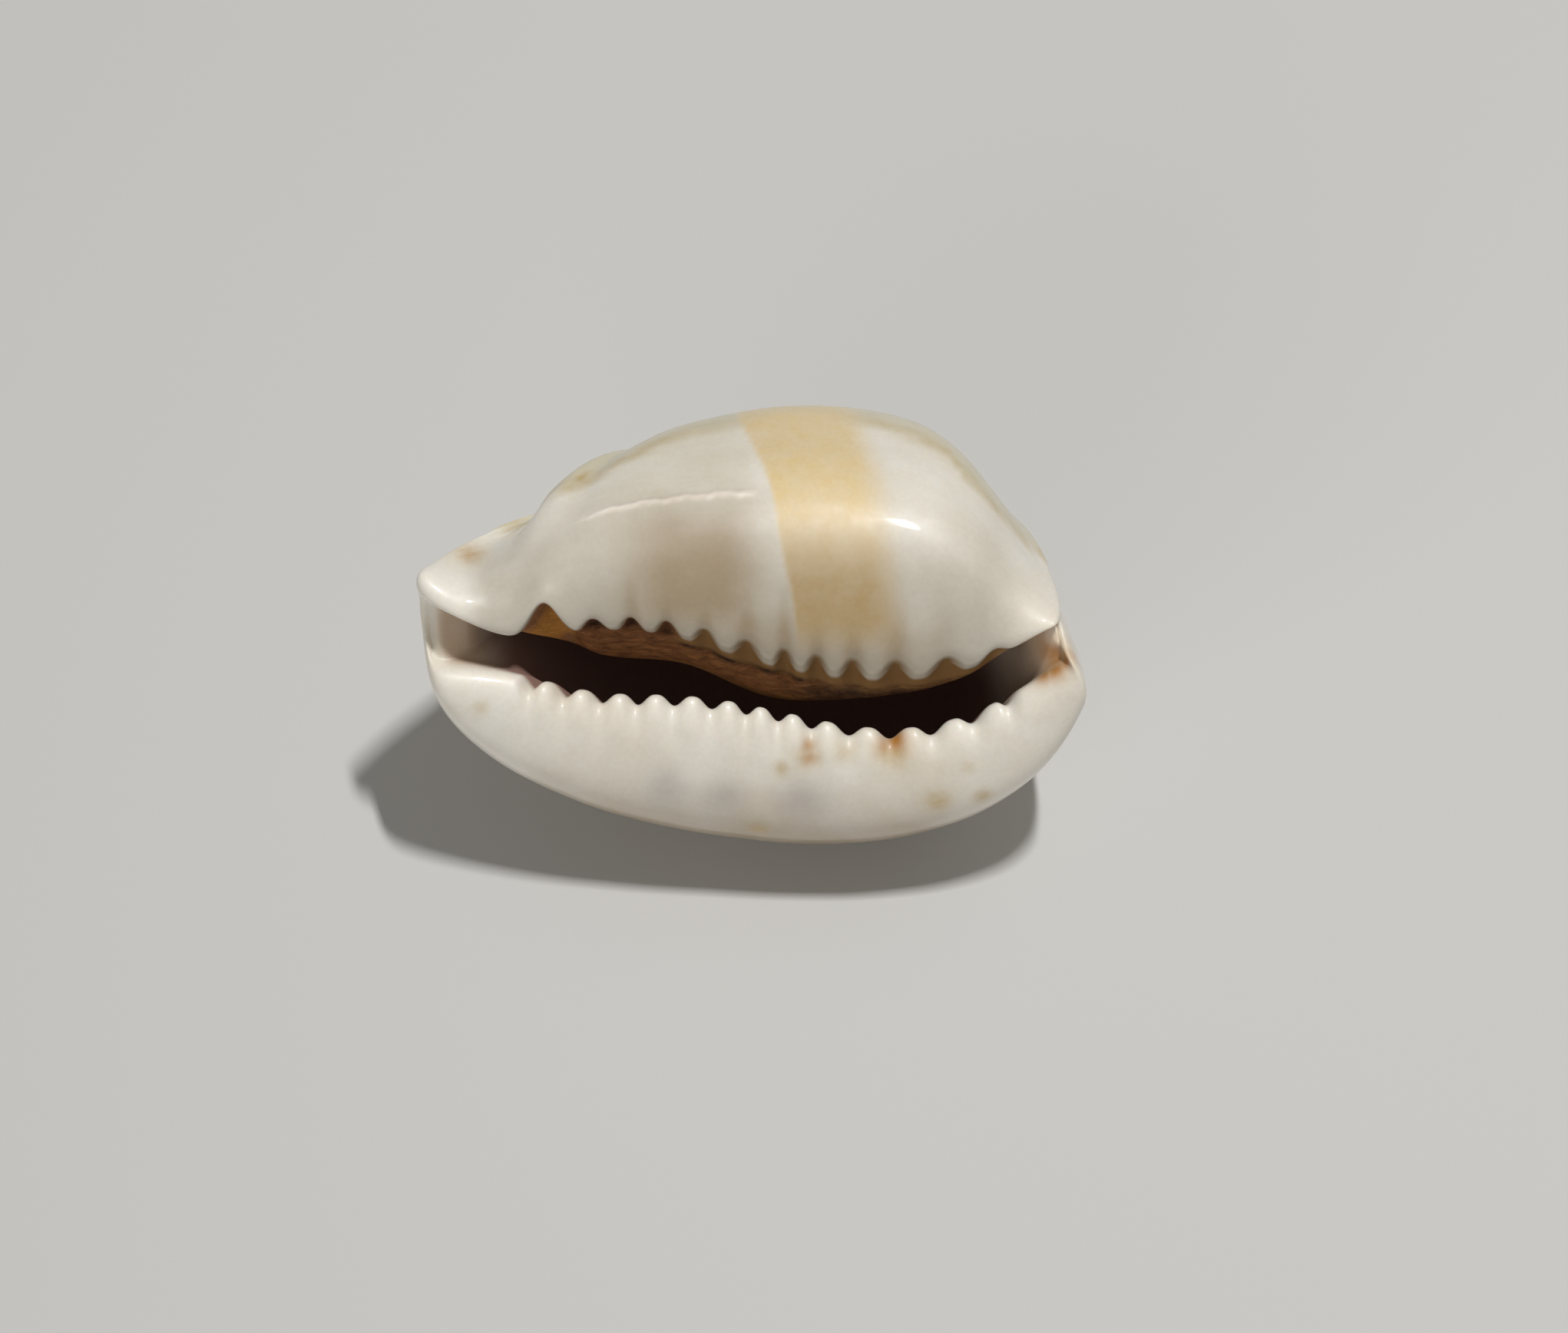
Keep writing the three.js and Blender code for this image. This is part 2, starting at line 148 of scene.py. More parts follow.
# Heights in millimetres of the step at the callus's edge, of the lips' swells and of the back's.
CALLUS_STEP, LIP_SWELLS, BACK_SWELLS = 0.07, 0.011, 0.006

# ---- colours and marks ----

# x, and degrees round the shell at which the white callus of the inner side ends and the back begins.
CALLUS_EDGE = ([-11, -9.7, -6.9, -5.8, -3.9, -2.5, 3.5, 6.3, 7.6, 8.1, 9.4, 11],
               [82, 79, 78, 83, 91, 96, 97, 92, 87, 80, 74, 72])
# Degrees round the shell, and x of the golden band's front and rear edges there.
BAND_FRONT = ([28, 39, 54, 66, 81, 99, 140], [1.56, 1.4, 0.9, 0.6, 0.0, -0.66, -1.2])
BAND_REAR = ([28, 50, 75, 100, 140], [5.8, 5.5, 5.0, 4.3, 3.9])

COLOURS = {  # name: (red, green, blue, what it is)
    "porcelain": (0.86, 0.82, 0.73, "Glossy white of the base and lips"),
    "cream": (0.79, 0.72, 0.60, "Warmer white that clouds the porcelain"),
    "beige": (0.52, 0.475, 0.39, "Greyer white of the inner side, above its teeth"),
    "gold": (0.78, 0.60, 0.31, "Golden band over the inner side and the back"),
    "peach": (0.46, 0.325, 0.155, "Lower end of the golden band"),
    "olive": (0.64, 0.58, 0.40, "Pale olive of the back"),
    # tan is partly the shell's own tan cloud and partly painted shade, by the inner teeth and along the outer
    # flank.
    "tan": (0.385, 0.30, 0.195, "Tan cloud over the inner lip, darker by its teeth"),
    "ochre": (0.54, 0.39, 0.16, "Strip along the edge of the callus and the small stains"),
    "orange": (0.48, 0.215, 0.05, "Rusty stains"),
    "violet": (0.44, 0.39, 0.36, "Grey-violet blotches on the outer lip"),
    # groove is partly the shell's own olive-brown stain, partly painted shade in the valleys between the
    # inner teeth.
    "groove": (0.22, 0.115, 0.04, "Olive brown between the teeth of the inner lip"),
    "ridge": (0.30, 0.125, 0.045, "Brown fibrous ridge inside"),
    "canal": (0.53, 0.38, 0.25, "Tan floor of the end channels"),
    # crest's pale colour is partly the line's own and partly a painted highlight on the crease's ridge.
    "crest": (0.95, 0.86, 0.76, "Pinkish cream of the wavy line on the inner side"),
    "fibres": (0.08, 0.032, 0.014, "Darker hollows between the ridge's fibres"),
    "pits": (0.035, 0.015, 0.008, "Dark pits along the ridge"),
    "dark": (0.31, 0.19, 0.155, "Purple-brown inside"),
}
SPOTS = {  # mark: [(x, y, z, radius, strength)], in millimetres
    "orange": [(-11.1, 5.3, -2.8, 0.4, 0.35), (2.0, -1.75, -0.2, 0.3, 0.7), (2.05, -2.2, 0.05, 0.3, 0.6),
               (5.5, -1.7, -0.5, 0.45, 0.9), (4.9, -1.9, -0.4, 0.35, 0.6), (11.2, 1.2, -0.6, 0.4, 0.9),
               (11.6, 1.5, -0.5, 0.45, 1.0), (12.0, 1.9, -0.5, 0.4, 0.9), (11.6, 1.8, -1.1, 0.6, 0.9)],
    "ochre": [(-11.1, 5.3, -2.8, 0.7, 0.6), (1.0, -2.6, 0.1, 0.3, 0.6), (-10.7, 0.1, 0.1, 0.3, 0.4),
              (7.1, -4.2, 0.1, 0.5, 0.8), (8.9, -4.1, -0.1, 0.35, 0.9), (0.1, -5.8, -0.5, 0.5, 0.6),
              (-6.8, 7.2, -5.5, 0.3, 0.9), (-4.3, 9.3, -7.6, 0.4, 0.5), (8.3, -2.6, 0.1, 0.25, 0.4),
              (2.05, -2.1, 0.0, 0.6, 0.5), (3.5, -2.0, -0.1, 0.5, 0.4), (5.3, -2.0, -0.1, 0.7, 0.6),
              (11.5, 1.7, -0.8, 0.9, 0.5)],
    "violet": [(-3.4, -3.6, 0.1, 0.9, 0.7), (-1.3, -4.0, 0.1, 0.9, 0.6), (1.9, -4.1, 0.1, 1.1, 0.6)],
}

# Lamps: the way to each from the shell, how far off it is, its two sides in metres, and whether it shows in
# the gloss.
KEY_LIGHT = {"way": (0.2, 0.05, 0.98), "distance": 0.32, "sides": (0.03, 0.01), "mirrored": True}
FILL_LIGHT = {"way": (-0.5, -0.85, 0.35), "distance": 0.45, "sides": (0.3, 0.2), "mirrored": False}


class ShellSizes(bpy.types.PropertyGroup):
    """Sizes of the shell."""

    half_length: bpy.props.FloatProperty(
        name="Half length", description="From the middle of the shell to either end",
        default=13 * MM, min=5 * MM, max=60 * MM, unit="LENGTH", precision=4)
    roll: bpy.props.FloatProperty(
        name="Roll", description="Turn about the long axis, from lying on its back",
        default=math.radians(60), unit="ROTATION")
    tooth_depth: bpy.props.FloatProperty(
        name="Tooth depth", description="How deep the valleys between the teeth are, as a share",
        default=1.0, min=0.0, max=1.5, subtype="FACTOR")
    crease_height: bpy.props.FloatProperty(
        name="Crease height", description="Height of the wavy line on the inner side",
        default=0.08 * MM, min=0.0, max=0.3 * MM, unit="LENGTH", precision=6)
    lip_ridges: bpy.props.FloatProperty(
        name="Lip ridges", description="Height of the ridges that run from the outer teeth over the lip",
        default=0.05 * MM, min=0.0, max=0.3 * MM, unit="LENGTH", precision=6)
    subsurface: bpy.props.FloatProperty(
        name="Light depth", description="How far light spreads in the shell's wall",
        default=0.5 * MM, min=0.0, max=5 * MM, unit="LENGTH", precision=5)


ShellColours = type("ShellColours", (bpy.types.PropertyGroup,), {
    "__doc__": "Colours of the shell.",
    "__annotations__": {
        name: bpy.props.FloatVectorProperty(
            name=name.capitalize(), description=words, default=(r, g, b), min=0.0, max=1.0, subtype="COLOR")
        for name, (r, g, b, words) in COLOURS.items()
    },
})


class StageSettings(bpy.types.PropertyGroup):
    """Floor, lights and camera."""

    floor_colour: bpy.props.FloatVectorProperty(
        name="Floor", description="Colour of the floor", default=(0.60, 0.59, 0.57),
        min=0.0, max=1.0, subtype="COLOR")
    floor_width: bpy.props.FloatProperty(
        name="Floor width", description="Side of the square floor", default=1.2, unit="LENGTH")
    key_power: bpy.props.FloatProperty(
        name="Key light", description="Power of the small lamp overhead", default=0.74, unit="POWER",
        precision=3)
    fill_power: bpy.props.FloatProperty(
        name="Fill light", description="Power of the broad soft light at the front", default=0.42,
        unit="POWER", precision=3)
    sky: bpy.props.FloatProperty(
        name="Surroundings", description="Brightness of the pale surroundings", default=0.2, min=0.0)
    elevation: bpy.props.FloatProperty(
        name="Camera elevation", description="How far the camera looks down", default=math.radians(60),
        unit="ROTATION")
    distance: bpy.props.FloatProperty(
        name="Camera distance", description="From the camera to the shell", default=0.2, unit="LENGTH")
    view_width: bpy.props.FloatProperty(
        name="View width", description="Width seen at the shell", default=0.0623, unit="LENGTH", precision=5)
    aim_right: bpy.props.FloatProperty(
        name="Aim right", description="From the middle of the shell's box to the middle of the view",
        default=1.18 * MM, unit="LENGTH", precision=5)
    aim_up: bpy.props.FloatProperty(
        name="Aim up", description="The same, upwards in the view", default=-2.0 * MM, unit="LENGTH",
        precision=5)


# ---- curves ----


def blend(a, b, share):
    """a at share 0, b at share 1, straight in between."""
    return a + (b - a) * share


def ramp(value, low, high):
    """0 up to low, 1 from high, and t * t * (3 - 2 t) in between, with t the share of the way."""
    t = np.clip((value - low) / (high - low), 0, 1)
    return t * t * (3 - 2 * t)


def between(value, start, full, fade, end):
    """Ramps up from start to full, and down again from fade to end."""
    return ramp(value, start, full) * (1 - ramp(value, fade, end))


def bell(t):
    """exp(-t * t): 1 in the middle, near 0 from 2 on."""
    return np.exp(-t * t)


def soft_sign(value, width):
    """Runs from -1 to 1 as value does, steep in the middle: v / sqrt(v^2 + w^2), scaled to reach 1."""
    return value / np.hypot(value, width) * np.hypot(1, width)


def spline_weights(count, at):
    """Weights of a clamped uniform cubic B-spline's control values at each place from 0 to 1: the usual
    Cox-de Boor sum, as one array with a last axis of length count."""
    knots = np.clip((np.arange(count + 4) - 3) / (count - 3), 0, 1)
    at = np.minimum(np.asarray(at, float), 1 - 1e-9)[..., None]
    weights = ((knots[:-1] <= at) & (at < knots[1:])).astype(float)
    for degree in (1, 2, 3):
        rise = knots[degree:-1] - knots[: -degree - 1]
        fall = knots[degree + 1:] - knots[1:-degree]
        up = np.where(rise > 0, (at - knots[: -degree - 1]) / np.where(rise > 0, rise, 1), 0)
        down = np.where(fall > 0, (knots[degree + 1:] - at) / np.where(fall > 0, fall, 1), 0)
        weights = up * weights[..., :-1] + down * weights[..., 1:]
    return weights


def valleys(teeth, x):
    """0 on each tooth's tip and 1 midway between two: half a cosine wave a tooth, to the power narrowing,
    faded out before the first tooth and over the given end of the row."""
    tips, (near, far) = np.array(teeth["tips"]), teeth["end"]
    phase = np.interp(x, tips, np.arange(len(tips)))
    fade = between(x, tips[0] - 0.8, tips[0], tips[-1] + near, tips[-1] + far)
    return fade * (0.5 - 0.5 * np.cos(2 * np.pi * phase)) ** teeth["narrowing"]


# ---- the skin ----


def control_loops(turn, half_length, tooth_depth):
    """The loops round the mouth at the angles in turn, as an array [loop, angle, xyz] in millimetres.
    With along = -cos(turn) and side = sin(turn), a loop over the back or base is at
    x = half_length * along * reach, y between the rim and the margin by spread, and z between the lips'
    level and the margin's by drop. A loop inside is offset from the rim. Teeth cut the loops at the rim."""
    along, side = -np.cos(turn), np.sin(turn)
    weights = spline_weights(len(MIDLINE), (along + 1) / 2)
    profile = {name: weights @ np.array(values) for name, values in {
        "outer_tips": OUTER_TIPS, "inner_tips": INNER_TIPS, "middle": MIDLINE,
        "outer_half": OUTER_HALF, "inner_half": INNER_HALF,
        "outer_margin": OUTER_MARGIN, "inner_margin": INNER_MARGIN,
        "outer_room": OUTER_ROOM, "inner_room": INNER_ROOM,
        "depth": HOLLOW_DEPTH, "ledge": LEDGE, "ridge": RIDGE}.items()}
    rear = (1 + along) / 2
    front = (1 - rear) ** 5
    inner = (soft_sign(side, 0.2) + 1) / 2
    swell = ramp(-side, 0, LOBE)
    opening = soft_sign(side, blend(*MOUTH_ENDS, rear))

    def reach(table):
        return blend(table[:, 0:1], blend(table[:, 2:3], table[:, 1:2], swell), rear)

    def by_side(outer_value, inner_value):
        return blend(outer_value, inner_value, inner)

    slit = (profile["outer_tips"] + profile["inner_tips"]) / 2
    rim_y = slit + opening * (profile["inner_tips"] - slit)
    margin_y = profile["middle"] + side * by_side(profile["outer_half"], profile["inner_half"])
    margin_z = by_side(profile["outer_margin"], profile["inner_margin"])
    lip_z = -bell(side / (0.22 - 0.1 * rear)) * blend(FRONT_NOTCH, REAR_NOTCH, rear)
    end_x = half_length * along
    lip_x = end_x * (1 + FRONT_LIP * front * ramp(-side, 0.05, 0.35))

    back_spread = by_side(BACK_LOOPS[:, 3:4], BACK_LOOPS[:, 4:5])
    back_height = blend(BACK_LOOPS[:, 5:6], BACK_LOOPS[:, 6:7], front)
    back = [blend(BACK_TOP[0], end_x, reach(BACK_LOOPS)), blend(BACK_TOP[1], margin_y, back_spread),
            blend(margin_z, BACK_TOP[2], back_height)]
    base_spread = by_side(BASE_LOOPS[:, 3:4], BASE_LOOPS[:, 4:5])
    base_drop = by_side(BASE_LOOPS[:, 5:6], BASE_LOOPS[:, 6:7])
    base = [lip_x * reach(BASE_LOOPS), blend(rim_y, margin_y, base_spread), blend(lip_z, margin_z, base_drop)]
    room = opening * by_side(profile["outer_room"], profile["inner_room"])
    out = room * by_side(HOLLOW_LOOPS[:, 3:4], HOLLOW_LOOPS[:, 4:5])
    stand = np.maximum(side, 0) ** 0.5 * (profile["ledge"] * HOLLOW_LOOPS[:, 7:8]
                                          + profile["ridge"] * HOLLOW_LOOPS[:, 8:9])
    level = by_side(HOLLOW_LOOPS[:, 5:6], HOLLOW_LOOPS[:, 6:7])
    first = HOLLOW_LOOPS[0, 5]
    depth = blend(profile["depth"], 1, np.array(TO_FULL_DEPTH)[:, None])
    level = np.where(level < first, first + (level - first) * depth, level)
    close = HOLLOW_LOOPS[:, 9:10]
    hollow = [blend(HOLLOW_TOP[0], end_x, reach(HOLLOW_LOOPS)),
              blend(rim_y + out - stand, HOLLOW_TOP[1], close), blend(level, HOLLOW_TOP[2], close)]
    loops = np.concatenate([np.stack(np.broadcast_arrays(*part), -1) for part in (back, base, hollow)])

    shoulder = between(end_x, *SHOULDER["from"], *SHOULDER["to"]) * ramp(side, 0, 0.3)
    beak = bell((side - BEAK["side"]) / BEAK["half"]) * (1 - ramp(along, -0.95, -0.7))
    for loop, share in enumerate(SHOULDER["shares"], SHOULDER["loop"]):
        loops[loop, :, 1] += SHOULDER["height"] * share * shoulder
    for loop, (reaches, rises) in enumerate(zip(BEAK["reaches"], BEAK["rises"]), BEAK["loop"]):
        loops[loop, :, 0] -= BEAK["reach"] * reaches * beak
        loops[loop, :, 1] += BEAK["rise"] * rises * beak
    rim_x = loops[RIM, :, 0]
    cut = np.where(side > 0, valleys(INNER_TEETH, rim_x), valleys(OUTER_TEETH, rim_x))
    cut = np.abs(opening) * tooth_depth * cut
    gap = FRONT_GAP["depth"] * bell((rim_x - FRONT_GAP["x"]) / FRONT_GAP["half"]) * (side > 0)
    loops[RIM - 4:RIM + 4, :, 1] += np.array(FRONT_GAP["back"])[:, None] * gap
    near_rim = slice(RIM - 2, RIM + 3)
    for axis, which, sign in ((1, "back", np.sign(side)), (2, "down", -1)):
        inner_share, outer_share = np.array([INNER_TEETH[which], OUTER_TEETH[which]])[..., None]
        loops[near_rim, :, axis] += sign * cut * np.where(side > 0, inner_share, outer_share)
    return loops


def grid():
    """The two parameters of the skin: the place across the loops, 0 at the back's top and 1 at the
    hollow's, with more rows where the detail is, and the angle round the mouth, t + 0.12 sin 2t, which
    puts more columns along the lips than round the ends."""
    across = np.concatenate([[0.0]] + [np.linspace(a, b, steps + 1)[1:] for a, b, steps in ROWS_ACROSS])
    t = -np.arange(COLUMNS_ROUND) / COLUMNS_ROUND * 2 * np.pi
    return across, t + 0.12 * np.sin(2 * t)


def outward(points):
    """Unit normals of a skin [row, column, xyz]: the step along the columns crossed with that along the
    rows."""
    round_step = np.roll(points, -1, 1) - np.roll(points, 1, 1)
    normals = np.cross(round_step, np.gradient(points, axis=0))
    normals[0], normals[-1] = (0, 0, -1), (0, 0, 1)
    return normals / np.maximum(np.linalg.norm(normals, axis=-1, keepdims=True), 1e-12)


def places(points, across, turn):
    """Where each point of the skin is, for the marks: x, y and z; side, the sine of its angle round the
    mouth; over, the degrees round the shell's long axis from the middle of the base by the inner side;
    callus, the same at the callus's edge; crest, 1 on the wavy crease; from_rim, the length over the skin
    from the rim of the lip, negative inside; past_tips, how far it is below the line through the inner
    teeth's tips; inner, 1 on the inner lip's side; and valley, 1 midway between two teeth."""
    x, y, z = points[..., 0], points[..., 1], points[..., 2]
    steps = np.linalg.norm(np.diff(points, axis=0), axis=-1)
    length = np.concatenate([np.zeros((1, points.shape[1])), np.cumsum(steps, 0)])
    rim = np.argmin(abs(across - (RIM - 1) / (LOOP_COUNT - 3)))
    side = np.broadcast_to(np.sin(turn), x.shape)
    row_x, row_y = np.where(side[0] > 0, x[rim], 99), y[rim]
    tips = np.array([(row_x[i], row_y[i]) for i in (np.argmin(abs(row_x - t)) for t in INNER_TEETH["tips"])])
    over = np.degrees(np.arctan2(y, z + 6)) % 360
    crease_over = 65.9 - 0.065 * x * x + 0.25 * np.sin(4.3 * x + 1) + 0.12 * np.sin(11 * x)
    return {
        "x": x, "y": y, "z": z, "side": side, "over": over,
        "callus": np.interp(x, *CALLUS_EDGE),
        "crest": bell((over - crease_over) / 0.9) * between(x, -7.6, -5.5, -0.6, 0.3) * (side > 0),
        "from_rim": length[rim] - length,
        "past_tips": np.interp(x, tips[:, 0], tips[:, 1]) - y,
        "inner": ramp(side, -0.05, 0.05),
        "valley": np.where(side > 0, valleys(INNER_TEETH, x), valleys(OUTER_TEETH, x)),
    }


def relief(at, crease_height, lip_ridges):
    """How far each point moves out, in millimetres: the wavy crease, the edge of the callus, the ridges
    that carry on from the teeth over the outer lip, and swells that are sums and products of sines, about
    a hundredth high, finer on the lips than beyond them."""
    x, y, over, s, edge = at["x"], at["y"], at["over"], at["from_rim"], at["callus"]
    beyond = ramp(s, 1.5, 3.0)
    lips = ramp(s, 0.3, 1.2) * (1 - beyond)
    moved = crease_height * at["crest"]
    moved += CALLUS_STEP * beyond * at["inner"] * (ramp(over, edge - 2, edge + 1) - 1) * ramp(over, 40, edge)
    moved += lip_ridges * (1 - at["inner"]) * (0.5 - at["valley"]) * bell((s - 1.0) / 0.8)
    moved += LIP_SWELLS * lips * np.sin(3.9 * x + 1.7 * y) * np.sin(3.1 * y - 1.9 * x)
    moved += BACK_SWELLS * beyond * (np.sin(1.7 * x + 0.06 * over) + np.sin(0.9 * x - 0.09 * over + 2))
    return moved


def toothed(at):
    """1 along the toothed part of the inner lip."""
    return at["inner"] * between(at["x"], -7.7, -6.9, 10.2, 10.8)


def outside_marks(at):
    """The marks of the outer surface: the golden band and its peach lower end, the olive back and the strip
    along its edge, the crest of the crease, the beige of the inner side, and the tan cloud, the shades above
    the inner teeth and the shade of the flank. Bands and strips are products of ramps in x and in the
    degrees round the shell, and clouds are bells."""
    x, over, s, inner, edge = at["x"], at["over"], at["from_rim"], at["inner"], at["callus"]
    outside = ramp(s, -0.3, 0.2)
    front_edge, rear_edge = np.interp(over, *BAND_FRONT), np.interp(over, *BAND_REAR)
    band = between(x, front_edge - 0.1, front_edge + 0.2, rear_edge - 1.3, rear_edge + 0.4)
    band *= between(over, 22, 34, 215, 255) * outside
    lower = 1 - ramp(over, 38, 66)
    back = between(over, edge - 1, edge + 3, 255, 275) * outside
    strip = bell((over - edge - 4) / 4) * (1 - bell((x - 1.5) / 3.0)) * inner * outside
    above_crease = between(over, 60, 68, edge, edge + 10) * between(x, -9, -4, -0.6, 0.2) * inner
    beige = (1 - ramp(over, 38, 78)) * between(x, -11.6, -10.2, 8.5, 11) * inner * outside
    # Tan cloud over the inner side: partly the shell's own tone, partly painted shade.
    cloud_and_shade = np.minimum(1.25 * bell((over - 46) / 17), 1) * between(x, -6.2, -3.0, -1.4, 1.3) * inner * outside
    # Painted shade above and between the inner teeth.
    shade = toothed(at) * (0.55 + 0.45 * at["valley"]) * bell((s - 1.6) / 1.6) * between(x, -6.6, -4.0, 5, 9)
    # Painted shade in a band along the outer flank.
    flank_shade = bell((over - 300) / 20) * between(x, -13, -8, 6, 11) * (1 - inner) * outside
    return {
        "beige": beige, "gold": band * (1 - 0.8 * lower), "peach": band * lower,
        # crest: partly the line's own pale colour, partly a painted highlight.
        "olive": np.maximum(back * (1 - 0.4 * band), 0.25 * above_crease), "crest": at["crest"],
        "tan": np.maximum.reduce([cloud_and_shade, shade, flank_shade]), "ochre": 0.5 * strip,
    }


def inside_marks(at):
    """The marks of the mouth: the brown grooves between the inner teeth, the ridge below them with its fibres
    and pits, the tan floor of the end channels, the dark hollow, and the rusty gap at the front. They are
    ramps and bells in x, in the length from the rim and in how far a point is past the line of the tips."""
    x, s, inner, valley = at["x"], at["from_rim"], at["inner"], at["valley"]
    past = at["past_tips"] + 0.06 * np.sin(2.3 * x)
    front = 1 - ramp(x, -3.6, -2.6)
    teeth, tips = toothed(at), INNER_TEETH["tips"]
    wall = teeth * ramp(-s, -0.25, 0.15)
    ridge = wall * np.maximum(front, between(past, 0.42, 0.55, 1.5, 2.4))
    beads = 0.65 + 0.35 * np.cos(2 * np.pi * np.interp(x, tips, np.arange(len(tips))))
    pits = np.maximum.reduce([
        wall * (1 - front) * bell((past - 0.46) / 0.15) * (1 - ramp(x, 1.5, 3.0)) * beads,
        0.9 * wall * front * valley * bell((past + 0.1) / 0.3),
        0.85 * wall * ramp(past, 0.6, 1.0) * ramp(x, 0.8, 3)])
    gap = inner * between(x, -9.5, -8.8, -7.4, -6.8) * ramp(-s, -0.5, 0.1)
    hollow = between(x, -11.3, -9.3, 9.0, 10.3)
    dark = np.where(at["side"] > 0, ramp(-s, 3.4, 5.0) * teeth + ramp(-s, 0.2, 1.2) * (1 - teeth),
                    ramp(-s, 0.15, 0.6))
    return {
        # groove: the inner wall's own brown, and painted shade in the valleys between the teeth out onto the
        # lip.
        "groove": np.maximum(teeth * valley * (1 - ramp(s, 0.0, 1.3)), wall),
        "ridge": np.maximum(ridge * (1 - ramp(x, 1.0, 4.0)), gap), "fibres": 0.85 * ridge, "pits": pits,
        "canal": ramp(-s, 0.0, 0.9) * (1 - hollow), "dark": dark * hollow,
        "orange": 0.8 * gap * between(-s, 0.5, 1.3, 2.4, 3.2),
    }


def marks(at):
    """How much of each mark is at each point, from 0 to 1. The spots are added to the other marks as bells
    of the distance to their centres, and the greater counts."""
    found = {**outside_marks(at), **inside_marks(at)}
    for name, spots in SPOTS.items():
        for cx, cy, cz, radius, strength in spots:
            distance = np.sqrt((at["x"] - cx) ** 2 + (at["y"] - cy) ** 2 + (at["z"] - cz) ** 2)
            found[name] = np.maximum(found.get(name, 0), strength * bell(distance / radius))
    return found


def place_in_box(points, roll, low, high):
    """Rolls the points about x, puts their box's middle on the given box's and their top on its top, and
    grinds off what is under its bottom."""
    c, s = math.cos(roll), math.sin(roll)
    y, z = points[..., 1] * c - points[..., 2] * s, points[..., 1] * s + points[..., 2] * c
    placed = np.stack([points[..., 0], y, z], -1) * MM
    least, most = placed.reshape(-1, 3).min(0), placed.reshape(-1, 3).max(0)
    placed += (np.array(low) + np.array(high)) / 2 - (least + most) / 2
    placed[..., 2] += high[2] - placed[..., 2].max()
    placed[..., 2] = np.maximum(placed[..., 2], low[2])
    return placed


def closed_mesh(name, points, fields):
    """A mesh of the grid [row, column, xyz], closed round the columns, whose first and last rows are each one
    point. Every field is kept as a value at each vertex."""
    rows, columns = points.shape[:2]
    inside = np.arange((rows - 2) * columns).reshape(rows - 2, columns) + 1
    right = np.roll(inside, -1, 1)
    quads = np.stack([inside[:-1], right[:-1], right[1:], inside[1:]], -1).reshape(-1, 4)
    last = inside[-1, -1] + 1
    first_fan = np.stack([np.zeros(columns, int), right[0], inside[0]], -1)
    last_fan = np.stack([np.full(columns, last), inside[-1], right[-1]], -1)
    corners = np.concatenate([quads.ravel(), first_fan.ravel(), last_fan.ravel()])
    sizes = np.concatenate([np.full(len(quads), 4), np.full(2 * columns, 3)])

    def flat(grid_values):
        return np.concatenate([grid_values[:1, 0], grid_values[1:-1].reshape(-1, *grid_values.shape[2:]),
                               grid_values[-1:, 0]])

    mesh = bpy.data.meshes.new(name)
    vertices = flat(points)
    mesh.vertices.add(len(vertices))
    mesh.vertices.foreach_set("co", vertices.astype(np.float32).ravel())
    mesh.loops.add(len(corners))
    mesh.loops.foreach_set("vertex_index", corners.astype(np.int32))
    mesh.polygons.add(len(sizes))
    mesh.polygons.foreach_set("loop_start", (np.cumsum(sizes) - sizes).astype(np.int32))
    mesh.update(calc_edges=True)
    mesh.polygons.foreach_set("use_smooth", np.ones(len(sizes), bool))
    for field, values in fields.items():
        attribute = mesh.attributes.new(field, "FLOAT", "POINT")
        attribute.data.foreach_set("value", flat(values).astype(np.float32))
    mesh.validate()
    piece = bpy.data.objects.new(name, mesh)
    bpy.context.scene.collection.objects.link(piece)
    return piece


# ---- finishes ----


def feed(tree, socket, value):
    """Puts a value, or another node's output, into a socket."""
    if isinstance(value, bpy.types.NodeSocket):
        tree.links.new(value, socket)
    else:
        socket.default_value = value


def add_node(tree, kind, settings=None, **inputs):
    """A node of that kind, with its settings and its inputs, each a value or another node's output."""
    node = tree.nodes.new(kind)
    for name, value in (settings or {}).items():
        setattr(node, name, value)
    for name, value in inputs.items():
        feed(tree, node.inputs[name.replace("_", " ")], value)
    return node


def noise(tree, vector, scale, detail=3.0, roughness=0.55, distortion=0.0):
    """Noise from 0 to 1, scale waves to a metre."""
    return add_node(tree, "ShaderNodeTexNoise", Vector=vector, Scale=scale, Detail=detail,
                    Roughness=roughness, Distortion=distortion).outputs["Fac"]


def stretched(tree, value, low, high, to_low=0.0, to_high=1.0):
    """value, with low to high spread over to_low to to_high, and held there beyond."""
    return add_node(tree, "ShaderNodeMapRange", Value=value, From_Min=low, From_Max=high, To_Min=to_low,
                    To_Max=to_high).outputs["Result"]


def times(tree, a, b):
    """a times b."""
    node = add_node(tree, "ShaderNodeMath", {"operation": "MULTIPLY"})
    feed(tree, node.inputs[0], a)
    feed(tree, node.inputs[1], b)
    return node.outputs[0]


def mixed(tree, factor, a, b, kind="RGBA"):
    """a where factor is 0 and b where it is 1; two colours, or two numbers if kind is FLOAT."""
    node = add_node(tree, "ShaderNodeMix", {"data_type": kind})
    first, result = (6, 2) if kind == "RGBA" else (2, 0)  # the node has sockets for every kind
    for index, value in ((0, factor), (first, a), (first + 1, b)):
        feed(tree, node.inputs[index], value)
    return node.outputs[result]


def mark(tree, name):
    """The mesh's value of that mark."""
    return add_node(tree, "ShaderNodeAttribute", {"attribute_name": name}).outputs["Fac"]


